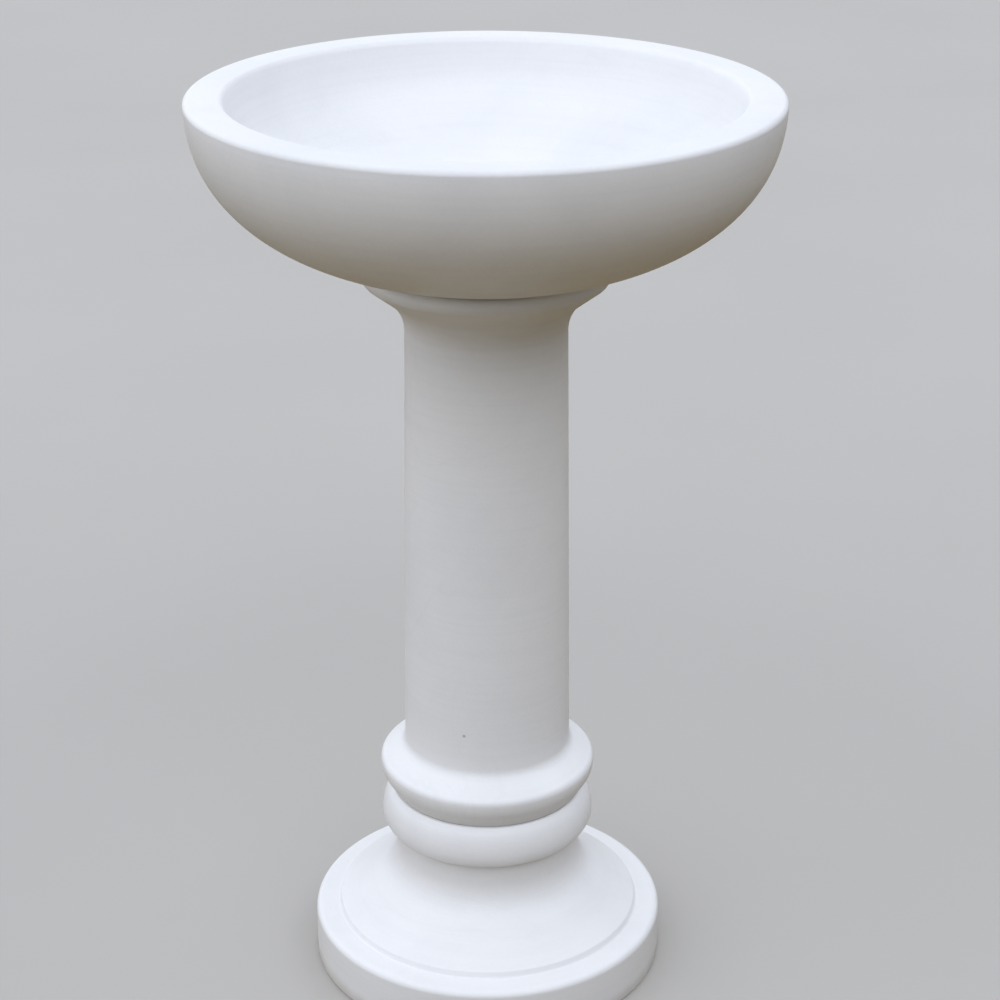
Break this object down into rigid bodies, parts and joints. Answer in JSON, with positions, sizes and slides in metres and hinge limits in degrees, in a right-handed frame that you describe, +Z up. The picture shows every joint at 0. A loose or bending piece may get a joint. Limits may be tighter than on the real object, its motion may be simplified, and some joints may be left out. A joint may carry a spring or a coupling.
{
  "type": "bird bath",
  "caption": "Stone bird bath: a wide, deep bowl with a flat rim on a round column with a flared top, standing on a moulded bell-shaped base.",
  "frame": {"origin": "centre of the base's underside, where it stands on the ground", "axes": "+Z straight up along the common axis of the bowl, column and base; the object is turned, so +X and +Y have no front"},
  "size_m": [0.459, 0.459, 0.76],
  "materials": {
    "white_marble": "honed, faint turning marks",
    "stainless_steel": "turned and rolled, bright",
    "stone_resin": "cured polyester resin, buff",
    "white_plastic": "moulded, satin",
    "seat_rubber": "sheet rubber, matt",
    "setting_mortar": "fine white cement mortar, matt"
  },
  "bodies": {
    "pedestal": {"base": "white_marble", "base_joint_bed": "setting_mortar", "base_stud": "stainless_steel", "stud_resin": "stone_resin", "base_plate_washer": "stainless_steel", "base_lock_washer": "stainless_steel", "base_nut": "stainless_steel", "column": "white_marble", "pin_resin": "stone_resin", "bowl_pin": "stainless_steel"},
    "seat": {"bowl_seat_ring": "seat_rubber"},
    "bowl": {"bowl": "white_marble", "bowl_pin_bush": "white_plastic", "bush_resin": "stone_resin"}
  },
  "joints": [
    {"name": "bowl_turn", "type": "hinge", "parent": "pedestal", "child": "seat", "pos_m": [0, 0, 0.6261], "axis": [0, 0, 1], "continuous": true},
    {"name": "bowl_lift", "type": "slide", "parent": "seat", "child": "bowl", "axis": [0, 0, 1], "range_m": [0, 0.08]}
  ]
}
